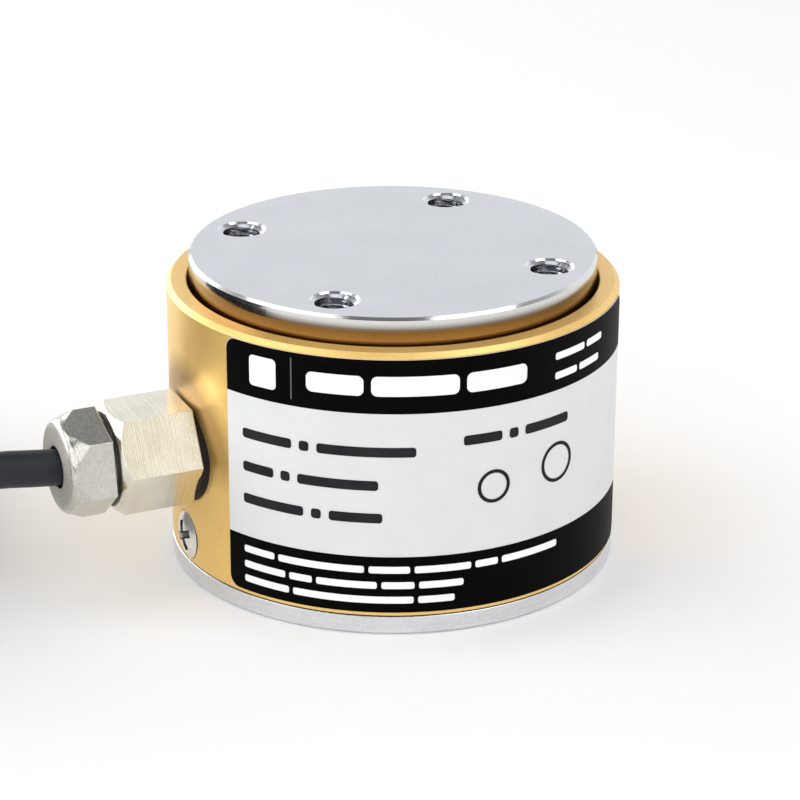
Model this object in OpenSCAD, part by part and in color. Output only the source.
// Round multi-axis force sensor: a base flange and a top mounting plate, joined inside
// by a cross-beam elastic element, under a cover sleeve, with a cable gland and its cable.
// Z is up, and the origin is the centre of the underside. The cable leaves towards -X.

/* [Body] */
// Outer diameter of the base flange and the sleeve
body_d = 50; // [49:0.5:54]
// Height from the underside to the top face
body_h = 35; // [34:0.5:38]
// Height of the base flange's rim
flange_t = 2.2; // [1.8:0.1:3]
// Bevel round the bottom edge of the flange
flange_bevel = 0.3; // [0.1:0.1:0.6]
// Height of the base's spigot inside the sleeve
spigot_h = 6.4; // [6.2:0.1:7]
// Wall thickness of the sleeve
sleeve_wall = 2.25; // [1.8:0.05:2.4]
// Bevel round the sleeve's outer top edge
sleeve_bevel = 0.5; // [0.2:0.1:0.8]
// Fine bevels that leave the hairline between sleeve and flange
seam_bevel = 0.12; // [0.05:0.01:0.2]
// How far the top face stands above the sleeve
plate_proud = 3; // [2:0.25:4]

/* [Top plate] */
// Gap all round between the top plate and the sleeve
plate_gap = 0.25; // [0.2:0.05:0.6]
// Thickness of the top plate
plate_t = 8.5; // [7:0.25:9]
// Bevel round the top plate's edges
plate_bevel = 0.3; // [0.1:0.1:0.6]

/* [Mounting holes] */
// Distance of the mounting holes' centres in from the top plate's edge
mount_edge = 4.5; // [4:0.25:5.5]
// Thread diameter of the mounting holes
mount_d = 5; // [4:0.5:5]
// Bevel at the mouth of each mounting hole
mount_bevel = 0.2; // [0.1:0.05:0.4]
// Depth of the mounting holes in the base
base_hole_depth = 6.5; // [5:0.5:7]

/* [Elastic element] */
// Room between the element's rim and the sleeve, where the gland ends
element_gap = 4.75; // [4.25:0.1:5.25]
// Width of the element's rim
rim_w = 5; // [4.5:0.25:5.5]
// Height of the element's rim
rim_h = 10; // [9:0.5:10.5]
// Diameter of the hub, and of the boss it carries
hub_d = 12.4; // [12:0.2:13]
// Height of the hub above the rim
hub_rise = 3.4; // [3.2:0.1:4]
// Running clearance under the hub
hub_lift = 1; // [0.6:0.1:1.4]
// Width of each beam
beam_w = 3.2; // [2.6:0.1:3.6]
// Height of each beam
beam_h = 6; // [5:0.25:6.5]
// Thickness of the thin web at the outer end of each beam
web_t = 1.1; // [0.8:0.05:1.3]
// Width of the slot behind each web
slot_w = 1.4; // [1.2:0.05:1.6]
// Half the angle that each slot spans
slot_half_angle = 17; // [14:1:18]
// Diameter of the relief at each beam's roots
relief_d = 1.2; // [0.8:0.1:1.4]

/* [Strain gauges and board] */
// Length of a strain gauge
gauge_l = 3.2; // [2.4:0.1:3.6]
// Width of a strain gauge
gauge_w = 2; // [1.4:0.1:2.4]
// Thickness of a strain gauge with its cover
gauge_t = 0.12; // [0.08:0.01:0.2]
// Thickness of the terminal board
board_t = 1.2; // [0.8:0.1:1.6]
// Height of the spacers under the terminal board
spacer_h = 1.5; // [1:0.1:2]

/* [Fasteners] */
// Thread diameter of the rim screws and sleeve screws
small_thread_d = 3; // [2.5:0.5:3]
// Head diameter of a rim screw
rim_head_d = 5.5; // [5:0.1:5.6]
// Depth of the rim screws' counterbores
rim_counterbore = 3.4; // [3.2:0.1:3.6]
// Length of a rim screw under its head
rim_screw_l = 12; // [10:1:12]
// Thread diameter of the hub screw
hub_thread_d = 5; // [4:0.5:5]
// Head diameter of the hub screw
hub_head_d = 8.5; // [7:0.5:8.6]
// Head height of the hub screw
hub_head_h = 5; // [4:0.25:5.2]
// Length of the hub screw under its head
hub_screw_l = 16; // [14:1:16]
// Diameter of the pins that locate the rim
rim_pin_d = 2.5; // [2:0.25:2.5]
// Diameter of the pins that locate the top plate
hub_pin_d = 1.5; // [1.2:0.1:1.6]
// Head diameter of a sleeve screw
sleeve_head_d = 5.4; // [5.2:0.1:5.7]
// Height of a sleeve screw's raised head
sleeve_dome_h = 0.65; // [0.3:0.05:0.8]
// Height of the sleeve screws above the underside
sleeve_screw_z = 5.1; // [5:0.05:5.3]
// Thread diameter of the board screws
board_thread_d = 2; // [1.6:0.2:2]
// Diameter of the O-ring's section
seal_d = 1; // [0.8:0.1:1.1]

/* [Cable gland] */
// Height of the gland's axis above the underside
gland_z = 15.8; // [15:0.1:17]
// Width across the flats of the gland's long hexagon
gland_af = 11; // [10:0.25:12]
// Length of the long hexagon
gland_l = 8.8; // [7:0.2:10]
// Turn of the long hexagon about its axis
gland_turn = 28; // [0:1:60]
// Radial depth of the turned end of the long hexagon
gland_turned = 1.15; // [0.8:0.05:1.4]
// Thread diameter of the gland's tail
tail_d = 8; // [7:0.5:8]
// Thread diameter of the gland's nose
nose_d = 8.4; // [8:0.1:8.6]
// Width across the flats of the dome nut
nut_af = 10.3; // [10:0.1:11]
// Length of the dome nut
nut_l = 4.9; // [4.5:0.1:6]
// Turn of the dome nut about its axis
nut_turn = 10; // [0:1:60]
// Length of thread that shows between hexagon and nut
nut_gap = 0.7; // [0.3:0.1:1.2]
// Thickness of the rubber washer at its thinnest
washer_t = 0.3; // [0.2:0.05:0.6]
// How far the rubber washer stands out past the flats of the hexagon
washer_proud = 0.2; // [0.1:0.1:0.6]
// How far the loose rubber washer hangs down on the gland's tail
washer_drop = 0.5; // [0.2:0.1:0.7]
// Thickness of the locknut inside the sleeve
locknut_t = 2; // [1.5:0.1:2.2]

/* [Label] */
// Direction of the label's middle, seen from above
label_middle = 263; // [250:1:270]
// Angle that the label spans
label_span = 124; // [60:1:130]
// Clear strip of sleeve below the label
label_low = 0.4; // [0.2:0.1:3]
// Clear strip of sleeve above the label, under the bevel
label_high = 0.1; // [0.1:0.1:3]
// Thickness of the label
label_t = 0.12; // [0.08:0.01:0.2]
// Radius of the label's corners
label_corner = 1.3; // [0.5:0.1:3]

/* [Cable] */
// Diameter of the cable
cable_d = 4; // [3.6:0.1:4.2]
// Turns side by side in the coil
coil_columns = 5; // [4:1:5]
// Layers of turns in the coil
coil_layers = 4; // [3:1:5]
// Diameter at the middle of the coil's turns
coil_mean_d = 48; // [44:1:48]
// Thickness of the two ties
tie_t = 0.6; // [0.4:0.1:1]
// Width of the two ties
tie_w = 4; // [3:0.5:6]
// Length of the heat-shrink sleeve at the cable's end
tail_sleeve_l = 9.2; // [8:0.2:10]
// Number of bare cores at the cable's end
core_count = 6; // [4:1:6]

/* [Hidden] */
$fn = 96;

// Cuts run this far past the faces that they open
cut = 1;
// Close fit between two turned pieces, and free fit of a screw in its hole
fit = 0.05;
free_fit = 0.2;
// Bevel at the mouth of a small tapped hole, and thread left free past a screw's end
small_bevel = 0.1;
thread_spare = 0.6;

// Radii of the body, from the outside in
body_r = body_d / 2;
sleeve_bore_r = body_r - sleeve_wall;
spigot_r = sleeve_bore_r - fit;
plate_r = sleeve_bore_r - plate_gap;
element_r = sleeve_bore_r - element_gap;
mount_circle_r = plate_r - mount_edge;
rim_inner_r = element_r - rim_w;
hub_r = hub_d / 2;

// Heights of the body, from the bottom up
base_top = flange_t + spigot_h;
rim_top = base_top + rim_h;
hub_bottom = base_top + hub_lift;
hub_top = rim_top + hub_rise;
beam_bottom = hub_bottom + 1;
beam_top = beam_bottom + beam_h;
board_bottom = rim_top + spacer_h;
board_top = board_bottom + board_t;
plate_bottom = body_h - plate_t;
sleeve_top = body_h - plate_proud;

// Numbers and directions of the holes and beams
mount_count = 4;
mount_angle = 45;
beam_angle = 45;
sleeve_screw_angles = [0, 180];

// Base: access bore with its cover, rim screws and pins
access_r = 8;
cover_seat_r = access_r + 2.5;
cover_seat_t = 1;
rim_circle_r = element_r - rim_w / 2;
rim_pin_angle = 20;
rim_pin_l = 7;
rim_key = 2.5;
rim_thread_depth = rim_screw_l - (base_top - rim_counterbore) + thread_spare;
seal_z = base_top - 1.1;
seal_squeeze_r = sleeve_bore_r - seal_d / 2;
groove_half_w = seal_d * 0.6;
groove_r = seal_squeeze_r - seal_d / 2;

// Hub: screw head pocket and pins
hub_pocket_depth = hub_head_h + 0.4;
hub_key = 4;
hub_pin_r = hub_r - 1.8;
hub_pin_l = 5;
hub_screw_seat = hub_bottom + hub_pocket_depth;
hub_thread_depth = hub_screw_l - (hub_top - hub_screw_seat) + thread_spare;

// Slots that leave the thin webs
slot_inner_r = rim_inner_r + web_t;
slot_end_d = slot_w + 0.4;

// Terminal board
board_inner_r = hub_r + 1.3;
board_outer_r = element_r - 0.5;
board_thread_l = 1.8;
board_head_d = 2 * board_thread_d;
board_head_h = 1.2;
board_slot_w = 0.4;
spacer_d = 4;
lead_d = 0.6;
lead_pitch = 1.1;
lead_first = 0.5;
lead_spread = 2.3;

// Gland: distances along its axis from the body's axis
hex_start = body_r + washer_t;
hex_end = hex_start + gland_l;
nut_start = hex_end + nut_gap;
nut_end = nut_start + nut_l;
tail_end = sleeve_bore_r - 3.3;
nose_end = nut_end - 2.3;
ring_start = nose_end + 0.5;
ring_t = 0.5;
nut_taper = 0.65;
nose_round = 1;
gland_bore_r = cable_d / 2 + 0.15;
gland_turned_slope = 0.83;
seal_pocket_r = cable_d / 2 + 1.2;
seal_pocket_start = hex_end - 2.1;
seal_nose_bevel = 0.4;
washer_r = gland_af / 2 + washer_proud;
washer_hole_r = tail_d / 2 + washer_drop + fit;
gland_hole_r = tail_d / 2 + 0.1;
locknut_corner_r = gland_af / sqrt(3);
locknut_seat = sqrt(pow(sleeve_bore_r, 2) - pow(locknut_corner_r, 2)) - fit;

// Label: its glue, its edges, and the angle that a corner's radius spans
glue_t = 0.02;
label_bottom = flange_t + seam_bevel + label_low;
label_top = sleeve_top - sleeve_bevel - label_high;
label_corner_angle = label_corner / body_r * 180 / PI;

// Sleeve screws: their heads sit in countersinks on the round wall
screw_rim_r = body_r - fit;
screw_cone_h = (sleeve_head_d - small_thread_d) / 2;
screw_l = 5.4;
sleeve_thread_depth = screw_l - sleeve_wall + thread_spare;
recess_depth = 1.5;
recess_wing_w = 0.9;
recess_foot_r = 0.8;
recess_mouth_r = 1.9;
recess_turn = 25;

// Cable: route of the free stretch, from the end inside the sleeve to the coil
exit_x = -nut_end;
lead_route = [
    [-tail_end, 0, gland_z],
    [-(tail_end + hex_end) / 2, 0, gland_z],
    [-hex_end, 0, gland_z],
    [exit_x, 0, gland_z],
    [-45, 0, 16.5],
    [-52, 0, 17],
    [-59, 0, 16.5],
    [-66, 0, 15],
    [-72, -0.5, 13],
    [-78, -0.5, 10.5],
    [-85.5, 0.5, 7.5],
    [-93, 2.5, 5],
    [-99.5, 6.5, 3],
    [-105, 11.5, 2.2],
    [-109.5, 18, 2],
    [-112.5, 25, 2],
    [-114.5, 32, 2],
    [-114, 40, 2]
];
cable_sides = 12;

// Coil: it lies behind and beside the gland, on its two ties
coil_x = -77.5;
coil_y = 36.5;
coil_w = coil_columns * cable_d;
coil_h = coil_layers * cable_d;
coil_bottom = tie_t;
coil_top = coil_bottom + coil_h;
tie_angles = [80, 310];

// Cable end: it lies on top of the coil, and its route is given from the coil's middle
tail_sleeve_r = cable_d / 2 + 0.3;
tail_z = coil_top + tail_sleeve_r + fit;
tail_route = [[-8, -22.5], [-13, -20.3], [-16.8, -16.8], [-18.6, -12.4]];
tail_last = tail_route[len(tail_route) - 1];
tail_run = tail_last - tail_route[len(tail_route) - 2];
core_d = 0.63;
core_l = 14;
core_start = tail_sleeve_l + 3 * fit;
core_lie = fit + core_d / 2 - tail_sleeve_r;
core_sides = 8;

// Colours
silver = [0.82, 0.83, 0.85];
gold = [0.83, 0.66, 0.36];
nickel = [0.78, 0.76, 0.7];
steel = [0.6, 0.61, 0.63];
brass = [0.75, 0.62, 0.35];
rubber = [0.1, 0.1, 0.1];
jacket = [0.2, 0.2, 0.22];

// Copies at equal steps round the Z axis
module around(count, first = 0) {
    for (i = [0:count - 1]) rotate([0, 0, first + i * 360 / count]) children();
}

// Places what is drawn along +Z on the gland's axis, with z measured from the body's axis
module on_gland_axis() {
    translate([0, 0, gland_z]) rotate([0, -90, 0]) children();
}

// Hexagonal prism across flats af
module hex_bar(af, h) {
    cylinder(d = af * 2 / sqrt(3), h = h, $fn = 6);
}

// Blind tapped hole drawn downwards from z = 0, with a bevelled mouth and a drill point
module tapped_hole(d, depth, bevel) {
    translate([0, 0, -depth]) cylinder(d = d, h = depth + cut);
    translate([0, 0, -depth - d / 4]) cylinder(d1 = 0, d2 = d, h = d / 4);
    translate([0, 0, -bevel]) cylinder(d1 = d, d2 = d + 2 * (bevel + cut), h = bevel + cut);
}

// Socket head cap screw whose head sits on z = 0 and whose shank runs up
module cap_screw(d, l, head_d, head_h, key) {
    difference() {
        union() {
            translate([0, 0, -head_h]) cylinder(d = head_d, h = head_h);
            cylinder(d = d, h = l);
        }
        translate([0, 0, -head_h - cut]) hex_bar(key, head_h / 2 + cut);
    }
}

// Straight wire along a list of points, round at its bends
module wire(points, d) {
    for (i = [0:len(points) - 2]) {
        run = points[i + 1] - points[i];
        translate(points[i])
            rotate([0, acos(run.z / norm(run)), atan2(run.y, run.x)])
            cylinder(d = d, h = norm(run), $fn = 16);
        if (i > 0) translate(points[i]) sphere(d = d, $fn = 16);
    }
}

// Round tube swept along a list of points, with one ring of corners at each point
function heading(p, i) = let (v = p[min(i + 1, len(p) - 1)] - p[max(i - 1, 0)]) v / norm(v);
function across(t) = let (v = cross(t, [0, 0, 1])) v / norm(v);
function tube_ring(p, i, r, n) =
    let (t = heading(p, i), s = across(t), u = cross(s, t))
    [for (k = [0:n - 1]) p[i] + r * (cos(k * 360 / n) * s + sin(k * 360 / n) * u)];
module tube(points, d, n) {
    last = (len(points) - 1) * n;
    corners = [for (i = [0:len(points) - 1]) each tube_ring(points, i, d / 2, n)];
    walls = [
        for (i = [0:len(points) - 2], k = [0:n - 1])
        let (a = i * n + k, b = i * n + (k + 1) % n)
        each [[a, b, b + n], [a, b + n, a + n]]
    ];
    caps = [[for (k = [n - 1:-1:0]) k], [for (k = [0:n - 1]) last + k]];
    polyhedron(corners, concat(walls, caps));
}

// Turned base: rim, spigot with its seal groove, access bore and all its holes
module base_flange() {
    color(silver) difference() {
        rotate_extrude() polygon([
            [access_r, cover_seat_t],
            [cover_seat_r, cover_seat_t],
            [cover_seat_r, 0],
            [body_r - flange_bevel, 0],
            [body_r, flange_bevel],
            [body_r, flange_t - seam_bevel],
            [body_r - seam_bevel, flange_t],
            [spigot_r, flange_t],
            [spigot_r, seal_z - groove_half_w],
            [groove_r, seal_z - groove_half_w],
            [groove_r, seal_z + groove_half_w],
            [spigot_r, seal_z + groove_half_w],
            [spigot_r, base_top],
            [access_r, base_top]
        ]);
        around(mount_count, mount_angle) translate([mount_circle_r, 0, 0])
            mirror([0, 0, 1]) tapped_hole(mount_d, base_hole_depth, mount_bevel);
        around(4) translate([rim_circle_r, 0, 0]) {
            translate([0, 0, -cut]) cylinder(d = small_thread_d + free_fit, h = base_top + 2 * cut);
            translate([0, 0, -cut]) cylinder(d = rim_head_d + free_fit, h = rim_counterbore + cut);
        }
        around(2, rim_pin_angle) translate([rim_circle_r, 0, base_top - rim_pin_l / 2])
            cylinder(d = rim_pin_d, h = rim_pin_l);
        for (a = sleeve_screw_angles) rotate([0, 0, a]) translate([spigot_r, 0, sleeve_screw_z])
            rotate([0, 90, 0]) tapped_hole(small_thread_d, sleeve_thread_depth, small_bevel);
    }
}

// Disk pressed into the underside over the access bore
module bottom_cover() {
    color(silver) cylinder(r = cover_seat_r - fit, h = cover_seat_t);
}

// O-ring between the spigot and the sleeve
module base_seal() {
    color(rubber) rotate_extrude() translate([seal_squeeze_r, seal_z]) circle(d = seal_d, $fn = 32);
}

// Countersunk seat for a sleeve screw, drawn outwards along +Z from the body's axis
module screw_seat() {
    hole_d = small_thread_d + free_fit;
    mouth_d = sleeve_head_d + free_fit;
    translate([0, 0, sleeve_bore_r - cut]) cylinder(d = hole_d, h = body_r);
    translate([0, 0, screw_rim_r - screw_cone_h])
        cylinder(d1 = hole_d, d2 = mouth_d, h = screw_cone_h);
    translate([0, 0, screw_rim_r]) cylinder(d = mouth_d, h = cut);
}

// Cover tube with its bevelled rim, the gland's hole and the screws' countersinks
module sleeve() {
    color(gold) difference() {
        rotate_extrude() polygon([
            [sleeve_bore_r, flange_t],
            [body_r - seam_bevel, flange_t],
            [body_r, flange_t + seam_bevel],
            [body_r, sleeve_top - sleeve_bevel],
            [body_r - sleeve_bevel, sleeve_top],
            [sleeve_bore_r + seam_bevel, sleeve_top],
            [sleeve_bore_r, sleeve_top - seam_bevel]
        ]);
        on_gland_axis() cylinder(r = gland_hole_r, h = body_r + cut);
        for (a = sleeve_screw_angles) rotate([0, 0, a]) translate([0, 0, sleeve_screw_z])
            rotate([0, 90, 0]) screw_seat();
    }
}

// Raised countersunk screw with a cross recess, drawn outwards along +Z
module raised_screw() {
    rise = sleeve_dome_h;
    dome_r = (pow(sleeve_head_d / 2, 2) + pow(rise, 2)) / (2 * rise);
    difference() {
        union() {
            translate([0, 0, -screw_l]) cylinder(d = small_thread_d, h = screw_l);
            translate([0, 0, -screw_cone_h])
                cylinder(d1 = small_thread_d, d2 = sleeve_head_d, h = screw_cone_h);
            intersection() {
                translate([0, 0, rise - dome_r]) sphere(r = dome_r);
                cylinder(d = sleeve_head_d, h = rise);
            }
        }
        for (a = [0, 90]) rotate([0, 0, recess_turn + a]) translate([0, 0, rise - recess_depth])
            rotate([90, 0, 0]) translate([0, 0, -recess_wing_w / 2]) linear_extrude(recess_wing_w)
            polygon([
                [-recess_foot_r, 0],
                [recess_foot_r, 0],
                [recess_mouth_r, recess_depth],
                [recess_mouth_r, recess_depth + cut],
                [-recess_mouth_r, recess_depth + cut],
                [-recess_mouth_r, recess_depth]
            ]);
    }
}

// Both sleeve screws
module sleeve_screws() {
    color(steel) for (a = sleeve_screw_angles) rotate([0, 0, a])
        translate([screw_rim_r, 0, sleeve_screw_z]) rotate([0, 90, 0]) raised_screw();
}

// Block that takes one square corner off the label, less the round that stays
module corner_cutter(side, up) {
    rotate([0, 0, label_middle + side * (label_span / 2 - label_corner_angle)]) difference() {
        translate([body_r - cut, side > 0 ? 0 : -2 * label_corner, up > 0 ? 0 : -2 * label_corner])
            cube([2 * cut, 2 * label_corner, 2 * label_corner]);
        rotate([0, 90, 0]) cylinder(r = label_corner + fit, h = body_r + 2 * cut);
    }
}

// Printed foil round the sleeve, with rounded corners
module label() {
    color([0.85, 0.85, 0.85]) difference() {
        rotate([0, 0, label_middle - label_span / 2]) rotate_extrude(angle = label_span)
            translate([body_r + glue_t, label_bottom]) square([label_t, label_top - label_bottom]);
        for (side = [-1, 1]) {
            translate([0, 0, label_bottom + label_corner]) corner_cutter(side, -1);
            translate([0, 0, label_top - label_corner]) corner_cutter(side, 1);
        }
    }
}

// Arc slot behind one web, with a drilled hole at each end
module web_slot() {
    rotate([0, 0, -slot_half_angle]) rotate_extrude(angle = 2 * slot_half_angle)
        translate([slot_inner_r, base_top - cut]) square([slot_w, rim_h + 2 * cut]);
    for (side = [-1, 1]) rotate([0, 0, side * slot_half_angle])
        translate([slot_inner_r + slot_w / 2, 0, base_top - cut])
        cylinder(d = slot_end_d, h = rim_h + 2 * cut);
}

// Drilled reliefs in the corners where one beam meets the web and the hub
module beam_reliefs() {
    inset = relief_d / 4;
    for (x = [hub_r + inset, rim_inner_r - inset], side = [-1, 1])
        translate([x, side * (beam_w / 2 + inset), base_top - cut])
        cylinder(d = relief_d, h = rim_h + 2 * cut);
}

// One machined piece: hub, four beams, thin webs and bolted rim
module elastic_element() {
    color(steel) difference() {
        union() {
            translate([0, 0, base_top]) difference() {
                cylinder(r = element_r, h = rim_h);
                translate([0, 0, -cut]) cylinder(r = rim_inner_r, h = rim_h + 2 * cut);
            }
            translate([0, 0, hub_bottom]) cylinder(r = hub_r, h = hub_top - hub_bottom);
            around(4, beam_angle) translate([hub_r - cut, -beam_w / 2, beam_bottom])
                cube([rim_inner_r - hub_r + 1.5 * cut, beam_w, beam_h]);
        }
        around(4, beam_angle) {
            web_slot();
            beam_reliefs();
        }
        around(4) translate([rim_circle_r, 0, 0]) {
            translate([0, 0, base_top]) mirror([0, 0, 1])
                tapped_hole(small_thread_d, rim_thread_depth, small_bevel);
            translate([0, 0, rim_top])
                tapped_hole(board_thread_d, board_thread_l + free_fit, small_bevel);
        }
        around(2, rim_pin_angle) translate([rim_circle_r, 0, base_top - cut])
            cylinder(d = rim_pin_d, h = rim_pin_l / 2 + cut);
        translate([0, 0, hub_bottom - cut])
            cylinder(d = hub_head_d + free_fit, h = hub_pocket_depth + cut);
        cylinder(d = hub_thread_d + free_fit, h = body_h);
        around(2) translate([hub_pin_r, 0, hub_top - hub_pin_l / 2]) cylinder(d = hub_pin_d, h = hub_pin_l);
    }
}

// Four cap screws that clamp the element's rim to the base
module rim_screws() {
    color(steel) around(4) translate([rim_circle_r, 0, rim_counterbore])
        cap_screw(small_thread_d, rim_screw_l, rim_head_d, small_thread_d, rim_key);
}

// Pins that locate the element's rim on the base
module rim_dowels() {
    color(steel) around(2, rim_pin_angle) translate([rim_circle_r, 0, base_top - rim_pin_l / 2])
        cylinder(d = rim_pin_d, h = rim_pin_l);
}

// Central cap screw that clamps the top plate to the hub
module hub_screw() {
    color(steel) translate([0, 0, hub_screw_seat])
        cap_screw(hub_thread_d, hub_screw_l, hub_head_d, hub_head_h, hub_key);
}

// Pins that locate the top plate on the hub
module hub_dowels() {
    color(steel) around(2) translate([hub_pin_r, 0, hub_top - hub_pin_l / 2])
        cylinder(d = hub_pin_d, h = hub_pin_l);
}

// Turned mounting plate with the boss that sits on the hub
module top_plate() {
    color(silver) difference() {
        rotate_extrude() polygon([
            [0, hub_top],
            [hub_r, hub_top],
            [hub_r, plate_bottom],
            [plate_r - plate_bevel, plate_bottom],
            [plate_r, plate_bottom + plate_bevel],
            [plate_r, body_h - plate_bevel],
            [plate_r - plate_bevel, body_h],
            [0, body_h]
        ]);
        around(mount_count, mount_angle) translate([mount_circle_r, 0, 0]) {
            translate([0, 0, body_h]) tapped_hole(mount_d, plate_t + cut, mount_bevel);
            translate([0, 0, plate_bottom]) mirror([0, 0, 1])
                tapped_hole(mount_d, plate_t / 2, mount_bevel);
        }
        translate([0, 0, hub_top]) mirror([0, 0, 1])
            tapped_hole(hub_thread_d, hub_thread_depth, small_bevel);
        around(2) translate([hub_pin_r, 0, hub_top - hub_pin_l / 2]) cylinder(d = hub_pin_d, h = hub_pin_l);
    }
}

// Foil gauges on the four faces of each beam
module strain_gauges() {
    gauge_x = (hub_r + rim_inner_r) / 2;
    beam_middle = (beam_bottom + beam_top) / 2;
    color([0.8, 0.5, 0.2]) around(4, beam_angle) translate([gauge_x, 0, beam_middle])
        for (turn = [0, 90, 180, 270]) rotate([turn, 0, 0])
            translate([-gauge_l / 2, -gauge_w / 2, (turn % 180 == 0 ? beam_h : beam_w) / 2])
            cube([gauge_l, gauge_w, gauge_t]);
}

// Ring of circuit board above the beams
module terminal_board() {
    color([0.1, 0.4, 0.2]) translate([0, 0, board_bottom]) difference() {
        cylinder(r = board_outer_r, h = board_t);
        translate([0, 0, -cut]) cylinder(r = board_inner_r, h = board_t + 2 * cut);
        around(4) translate([rim_circle_r, 0, -cut])
            cylinder(d = board_thread_d + free_fit, h = board_t + 2 * cut);
    }
}

// Spacers between the element's rim and the board
module board_spacers() {
    color([0.9, 0.9, 0.85]) around(4) translate([rim_circle_r, 0, rim_top]) difference() {
        cylinder(d = spacer_d, h = spacer_h);
        translate([0, 0, -cut]) cylinder(d = board_thread_d + free_fit, h = spacer_h + 2 * cut);
    }
}

// Screws that hold the board
module board_screws() {
    shank_l = board_t + spacer_h + board_thread_l;
    slot_depth = board_head_h / 2;
    color(steel) around(4) translate([rim_circle_r, 0, board_top]) difference() {
        union() {
            cylinder(d = board_head_d, h = board_head_h);
            translate([0, 0, -shank_l]) cylinder(d = board_thread_d, h = shank_l);
        }
        for (a = [0, 90]) rotate([0, 0, a])
            translate([-board_head_d / 4, -board_slot_w / 2, board_head_h - slot_depth])
            cube([board_head_d / 2, board_slot_w, cut]);
    }
}

// Wires from the cable's end, up over the board's edge, to its pads
module signal_leads() {
    rise_r = (element_r + tail_end) / 2;
    pad_r = board_outer_r - 2 * lead_d;
    color([0.75, 0.2, 0.15]) for (side = [-1, 1], i = [0:1]) {
        start_y = side * (lead_first + i * lead_pitch);
        y = start_y + side * lead_spread;
        rise_x = -sqrt(pow(rise_r, 2) - pow(y, 2));
        pad_x = -sqrt(pow(pad_r, 2) - pow(y, 2));
        wire([
            [-tail_end, start_y, gland_z],
            [rise_x, start_y, gland_z],
            [rise_x, y, gland_z + 2],
            [rise_x, y, board_top + lead_d],
            [pad_x, y, board_top + lead_d],
            [pad_x, y, board_top]
        ], lead_d);
    }
}

// Gland body: threaded tail, long hexagon with a turned end, and threaded nose
module gland_body() {
    corner_r = gland_af / sqrt(3);
    color(nickel) on_gland_axis() difference() {
        union() {
            translate([0, 0, tail_end]) cylinder(d = tail_d, h = hex_end - tail_end);
            intersection() {
                translate([0, 0, hex_start]) rotate([0, 0, gland_turn]) hex_bar(gland_af, gland_l);
                rotate_extrude() polygon([
                    [0, hex_start - cut],
                    [corner_r + cut, hex_start - cut],
                    [corner_r + cut, hex_end - (gland_turned + cut) * gland_turned_slope],
                    [corner_r - gland_turned - cut, hex_end + cut * gland_turned_slope],
                    [0, hex_end + cut * gland_turned_slope]
                ]);
            }
            translate([0, 0, hex_end]) cylinder(d = nose_d, h = nose_end - hex_end);
        }
        translate([0, 0, tail_end - cut]) cylinder(r = gland_bore_r, h = nose_end);
        translate([0, 0, seal_pocket_start]) cylinder(r = seal_pocket_r, h = nose_end);
    }
}

// Rubber washer, flat against the hexagon and curved against the sleeve
module gland_washer() {
    color(rubber) difference() {
        translate([0, 0, -washer_drop]) on_gland_axis() difference() {
            cylinder(r = washer_r, h = hex_start);
            translate([0, 0, -cut]) cylinder(r = washer_hole_r, h = hex_start + 2 * cut);
        }
        cylinder(r = body_r, h = body_h, $fn = 480);
    }
}

// Locknut on the gland's tail, inside the sleeve
module gland_locknut() {
    color(brass) on_gland_axis() translate([0, 0, locknut_seat - locknut_t]) difference() {
        rotate([0, 0, 30]) hex_bar(gland_af, locknut_t);
        translate([0, 0, -cut]) cylinder(d = tail_d, h = locknut_t + 2 * cut);
    }
}

// Rubber insert that grips the cable
module gland_seal() {
    outer_r = seal_pocket_r - fit;
    color(rubber) on_gland_axis() rotate_extrude() polygon([
        [cable_d / 2, seal_pocket_start],
        [outer_r, seal_pocket_start],
        [outer_r, nose_end],
        [outer_r - seal_nose_bevel, ring_start],
        [cable_d / 2, ring_start]
    ]);
}

// Slip ring between the rubber insert and the nut
module gland_ring() {
    color(brass) on_gland_axis() translate([0, 0, ring_start]) difference() {
        cylinder(d = nose_d - free_fit, h = ring_t);
        translate([0, 0, -cut]) cylinder(r = gland_bore_r, h = ring_t + 2 * cut);
    }
}

// Dome nut: hexagon at the back, turned taper and rounded nose in front
module gland_nut() {
    corner_r = nut_af / sqrt(3);
    taper_r = corner_r - nut_taper;
    taper_start = nut_start + nut_l / 2;
    taper_slope = (nut_end - nose_round - taper_start) / nut_taper;
    pocket_l = ring_start + ring_t - nut_start;
    color(nickel) on_gland_axis() difference() {
        intersection() {
            translate([0, 0, nut_start]) rotate([0, 0, nut_turn]) hex_bar(nut_af, nut_l);
            rotate_extrude() union() {
                polygon([
                    [0, nut_start - cut],
                    [corner_r + cut, nut_start - cut],
                    [corner_r + cut, taper_start - cut * taper_slope],
                    [taper_r, nut_end - nose_round],
                    [taper_r - nose_round, nut_end],
                    [0, nut_end]
                ]);
                translate([taper_r - nose_round, nut_end - nose_round]) circle(r = nose_round);
            }
        }
        translate([0, 0, nut_start - cut]) cylinder(d = nose_d + 2 * fit, h = pocket_l + cut);
        cylinder(r = gland_bore_r + free_fit, h = nut_end + cut);
    }
}

// Free stretch of the cable, from inside the sleeve to the coil
module cable_lead() {
    color(jacket) tube(lead_route, cable_d, cable_sides);
}

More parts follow.
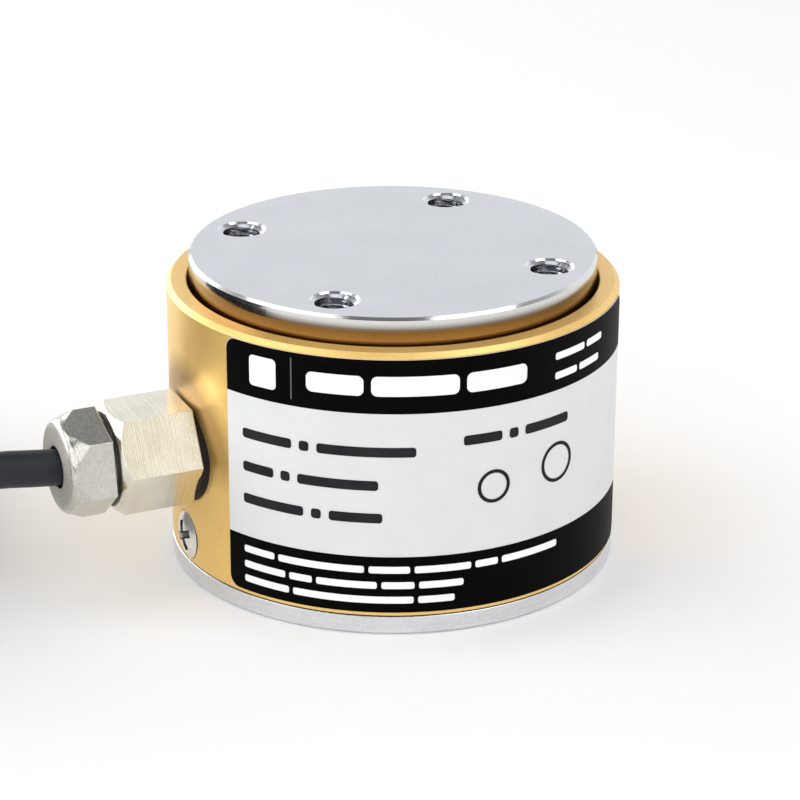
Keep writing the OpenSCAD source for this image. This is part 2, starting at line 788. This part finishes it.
// Outline of the coil's section, grown by extra, centred on the middle of its turns
module coil_section(extra) {
    w = coil_w + 2 * extra;
    h = coil_h + 2 * extra;
    r = cable_d / 2 + extra;
    square([w - 2 * r, h], center = true);
    square([w, h - 2 * r], center = true);
    for (x = [-1, 1], y = [-1, 1]) translate([x * (w / 2 - r), y * (h / 2 - r)]) circle(r = r, $fn = 32);
}

// Wound length of the cable, as the solid that its turns fill
module cable_coil() {
    color(jacket) translate([coil_x, coil_y, coil_bottom + coil_h / 2]) rotate_extrude()
        translate([coil_mean_d / 2, 0]) coil_section(0);
}

// Two ties round the coil's turns
module coil_ties() {
    tie_span = tie_w / (coil_mean_d / 2) * 180 / PI;
    color(rubber) for (a = tie_angles)
        translate([coil_x, coil_y, coil_bottom + coil_h / 2]) rotate([0, 0, a - tie_span / 2])
        rotate_extrude(angle = tie_span) translate([coil_mean_d / 2, 0]) difference() {
            coil_section(tie_t);
            coil_section(0);
        }
}

// Last stretch of the cable, on top of the coil
module cable_tail() {
    color(jacket) tube([for (p = tail_route) [coil_x + p.x, coil_y + p.y, tail_z]], cable_d, cable_sides);
}

// Places what is drawn along +X at the end of the cable's jacket
module at_tail_end() {
    translate([coil_x + tail_last.x, coil_y + tail_last.y, tail_z])
        rotate([0, 0, atan2(tail_run.y, tail_run.x)]) children();
}

// Heat-shrink sleeve at the end of the jacket
module tail_sleeve() {
    color(rubber) at_tail_end() rotate([0, 90, 0]) cylinder(r = tail_sleeve_r, h = tail_sleeve_l);
}

// Cores that fan out of the heat-shrink sleeve and lie on the coil
module tail_cores() {
    color([0.75, 0.2, 0.15]) at_tail_end() for (i = [0:core_count - 1]) {
        share = i - (core_count - 1) / 2;
        tube([
            [core_start, share * core_d * 1.1, 0],
            [core_start + core_l * 0.4, share * core_d * 2.1, core_lie],
            [core_start + core_l, share * core_d * 2.8, core_lie]
        ], core_d, core_sides);
    }
}

base_flange();
bottom_cover();
base_seal();
sleeve();
sleeve_screws();
label();
elastic_element();
rim_screws();
rim_dowels();
hub_screw();
hub_dowels();
top_plate();
strain_gauges();
terminal_board();
board_spacers();
board_screws();
signal_leads();
gland_body();
gland_washer();
gland_locknut();
gland_seal();
gland_ring();
gland_nut();
cable_lead();
cable_coil();
coil_ties();
cable_tail();
tail_sleeve();
tail_cores();
